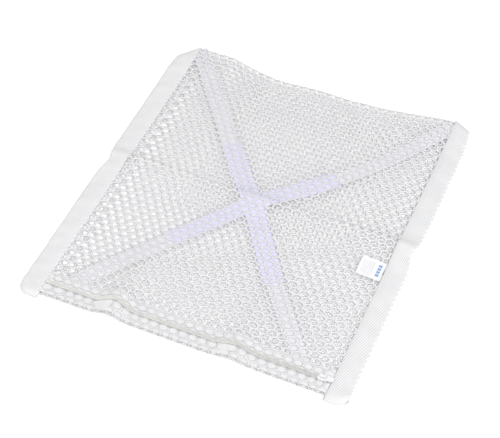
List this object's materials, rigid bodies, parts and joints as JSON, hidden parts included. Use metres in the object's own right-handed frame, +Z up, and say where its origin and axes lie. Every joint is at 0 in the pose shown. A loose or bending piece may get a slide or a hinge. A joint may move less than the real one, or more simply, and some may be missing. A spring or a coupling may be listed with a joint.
{
  "type": "mesh laundry bag",
  "caption": "Flat zipped net bag with taped sides and crossed fastening straps inside; it folds in half.",
  "frame": {"origin": "middle of the bag's footprint, on the surface it lies on", "axes": "+X across the bag to the right with the zipper in front, +Y from the zipped edge to the folded rear edge, +Z up"},
  "size_m": [0.4, 0.45, 0.0096],
  "materials": {
    "net": "open honeycomb knit of soft polyester yarn",
    "twill_tape": "woven twill binding tape",
    "strap_webbing": "flat woven webbing",
    "fastening_band": "brushed loop pile",
    "zipper_tape": "fine herringbone weave",
    "zipper_coil": "moulded nylon coil",
    "slider_plastic": "moulded, slight gloss",
    "label_satin": "satin ribbon",
    "thread": "spun polyester sewing thread"
  },
  "bodies": {
    "front_half": {"bottom_net_front": "net", "front_band_stitches": "thread", "front_corner_tacks": "thread", "front_left_band": "fastening_band", "front_left_strap": "strap_webbing", "front_net_fold": "net", "front_right_band": "fastening_band", "front_right_strap": "strap_webbing", "left_tape_front": "twill_tape", "left_tape_stitches_front": "thread", "right_tape_front": "twill_tape", "right_tape_stitches_front": "thread", "top_net_front": "net", "zipper_coil_front": "zipper_coil", "zipper_coil_rear": "zipper_coil", "zipper_end_tacks": "thread", "zipper_seam_stitches": "thread", "zipper_tape_front": "zipper_tape", "zipper_tape_rear": "zipper_tape"},
    "rear_half": {"bottom_net_rear": "net", "left_tape_rear": "twill_tape", "left_tape_stitches_rear": "thread", "rear_band_stitches": "thread", "rear_corner_tacks": "thread", "rear_left_band": "fastening_band", "rear_left_strap": "strap_webbing", "rear_net_fold": "net", "rear_right_band": "fastening_band", "rear_right_strap": "strap_webbing", "right_tape_rear": "twill_tape", "right_tape_stitches_rear": "thread", "top_net_rear": "net"},
    "slider": {"slider_body": "slider_plastic"},
    "pull": {"pull_tab": "slider_plastic"},
    "label": {"care_label": "label_satin"}
  },
  "joints": [
    {"name": "fold_in_half", "type": "hinge", "parent": "front_half", "child": "rear_half", "pos_m": [0, 0.008, 0.012], "axis": [1, 0, 0], "range_deg": [0, 178]},
    {"name": "zip_slide", "type": "slide", "parent": "front_half", "child": "slider", "axis": [-1, 0, 0], "range_m": [0, 0.328]},
    {"name": "pull_flip", "type": "hinge", "parent": "slider", "child": "pull", "pos_m": [0.164, -0.201, 0.0079], "axis": [0, -1, 0], "range_deg": [0, 175]},
    {"name": "label_lift", "type": "hinge", "parent": "front_half", "child": "label", "pos_m": [0.174, -0.037, 0.006], "axis": [0, 1, 0], "range_deg": [0, 160]}
  ]
}
